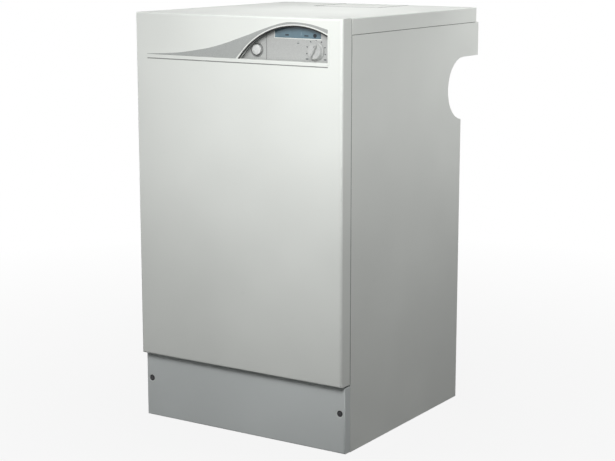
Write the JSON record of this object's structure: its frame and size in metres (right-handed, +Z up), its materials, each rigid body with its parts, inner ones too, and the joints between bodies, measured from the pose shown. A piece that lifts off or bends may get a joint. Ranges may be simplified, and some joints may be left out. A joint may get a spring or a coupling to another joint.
{
  "type": "floor standing gas boiler",
  "caption": "White sheet steel boiler cabinet with a lift-off door, lid and plinth, an arched control window, and a heat exchanger, fan, gas train and flue inside.",
  "frame": {"origin": "on the floor, under the middle of the cabinet's box", "axes": "+Z up, the door faces -Y, +X is to the right of someone facing the door"},
  "size_m": [0.49, 0.562, 0.85],
  "materials": {
    "white_paint": "satin powder coat",
    "grey_paint": "satin powder coat",
    "silver_paint": "silver moulded plastic",
    "white_plastic": "gloss moulded plastic",
    "blue_lens": "tinted display window",
    "black_plastic": "moulded plastic",
    "grey_plastic": "moulded plastic",
    "zinc": "zinc coated sheet",
    "cast_metal": "rough casting",
    "stainless": "stainless sheet",
    "copper": "drawn copper tube",
    "brass": "turned brass",
    "ceramic": "glazed ceramic",
    "glass": "heat resisting glass in its ring",
    "circuit_green": "circuit board lacquer",
    "yellow_paint": "painted lever"
  },
  "bodies": {
    "cabinet": {"side_panel_left": "white_paint", "side_panel_right": "white_paint", "door_catch_left": "black_plastic", "door_catch_right": "black_plastic", "button_fascia": "silver_paint", "control_fascia": "silver_paint", "display_window": "blue_lens", "thermostat_body": "grey_plastic", "push_button_ring": "silver_paint", "push_button_switch": "grey_plastic", "base_tray": "zinc", "back_panel": "zinc", "cable_gland": "black_plastic", "top_rail_front": "zinc", "top_rail_rear": "zinc", "control_box": "grey_plastic", "circuit_board": "circuit_green", "heat_exchanger": "cast_metal", "exchanger_stand": "zinc", "burner_plate": "cast_metal", "burner": "stainless", "fan_housing": "cast_metal", "fan_motor": "black_plastic", "venturi": "cast_metal", "gas_mixing_pipe": "copper", "gas_valve": "cast_metal", "gas_supply_pipe": "copper", "gas_cock": "brass", "gas_inlet_pipe": "copper", "sight_glass": "glass", "ignition_electrode": "ceramic", "sensing_electrode": "ceramic", "flow_thermistor": "brass", "spark_generator": "black_plastic", "ignition_lead": "black_plastic", "flue_sump": "grey_plastic", "condensate_trap": "white_plastic", "condensate_pipe": "white_plastic", "flue_riser": "stainless", "flue_collar": "cast_metal", "flow_pipe": "copper", "return_pipe": "copper", "drain_cock": "brass"},
    "front_door": {"front_door": "white_paint", "door_bezel": "white_plastic", "door_sweep_trim": "silver_paint"},
    "top_panel": {"top_panel": "white_paint"},
    "flue_cover_plate": {"flue_cover_plate": "white_paint"},
    "plinth": {"plinth_panel": "grey_paint", "plinth_screw_left": "zinc", "plinth_screw_right": "zinc"},
    "thermostat_knob": {"thermostat_knob": "silver_paint"},
    "push_button": {"push_button": "white_plastic"},
    "fan_impeller": {"fan_impeller": "stainless"},
    "gas_cock_lever": {"gas_cock_lever": "yellow_paint"},
    "drain_cock_spindle": {"drain_cock_spindle": "brass"},
    "levelling_foot_front_left": {"levelling_foot_front_left": "zinc"},
    "levelling_foot_front_right": {"levelling_foot_front_right": "zinc"},
    "levelling_foot_rear_left": {"levelling_foot_rear_left": "zinc"},
    "levelling_foot_rear_right": {"levelling_foot_rear_right": "zinc"}
  },
  "joints": [
    {"name": "front_door_pull", "type": "slide", "parent": "cabinet", "child": "front_door", "axis": [0, -1, 0], "range_m": [0, 0.3]},
    {"name": "top_panel_lift", "type": "slide", "parent": "cabinet", "child": "top_panel", "axis": [0, 0, 1], "range_m": [0, 0.2]},
    {"name": "flue_cover_lift", "type": "slide", "parent": "top_panel", "child": "flue_cover_plate", "axis": [0, 0, 1], "range_m": [0, 0.1]},
    {"name": "plinth_pull", "type": "slide", "parent": "cabinet", "child": "plinth", "axis": [0, -1, 0], "range_m": [0, 0.15]},
    {"name": "thermostat_turn", "type": "hinge", "parent": "cabinet", "child": "thermostat_knob", "pos_m": [0.177, -0.264, 0.787], "axis": [0, 1, 0], "range_deg": [-170, 100]},
    {"name": "push_button_press", "type": "slide", "parent": "cabinet", "child": "push_button", "axis": [0, 1, 0], "range_m": [0, 0.0025], "stiffness_N_per_m": 800, "springref_m": -0.001},
    {"name": "fan_spin", "type": "hinge", "parent": "cabinet", "child": "fan_impeller", "pos_m": [-0.075, -0.109, 0.7], "axis": [0, 1, 0], "continuous": true},
    {"name": "gas_cock_turn", "type": "hinge", "parent": "cabinet", "child": "gas_cock_lever", "pos_m": [0.165, 0.066, 0.149], "axis": [0, 0, 1], "range_deg": [0, 90]},
    {"name": "drain_cock_turn", "type": "hinge", "parent": "cabinet", "child": "drain_cock_spindle", "pos_m": [-0.075, -0.19, 0.306], "axis": [0, 1, 0], "range_deg": [0, 270]},
    {"name": "foot_turn_front_left", "type": "hinge", "parent": "cabinet", "child": "levelling_foot_front_left", "pos_m": [-0.2, -0.199, 0.02], "axis": [0, 0, 1], "continuous": true},
    {"name": "foot_turn_front_right", "type": "hinge", "parent": "cabinet", "child": "levelling_foot_front_right", "pos_m": [0.2, -0.199, 0.02], "axis": [0, 0, 1], "continuous": true},
    {"name": "foot_turn_rear_left", "type": "hinge", "parent": "cabinet", "child": "levelling_foot_rear_left", "pos_m": [-0.2, 0.087, 0.02], "axis": [0, 0, 1], "continuous": true},
    {"name": "foot_turn_rear_right", "type": "hinge", "parent": "cabinet", "child": "levelling_foot_rear_right", "pos_m": [0.2, 0.087, 0.02], "axis": [0, 0, 1], "continuous": true}
  ]
}
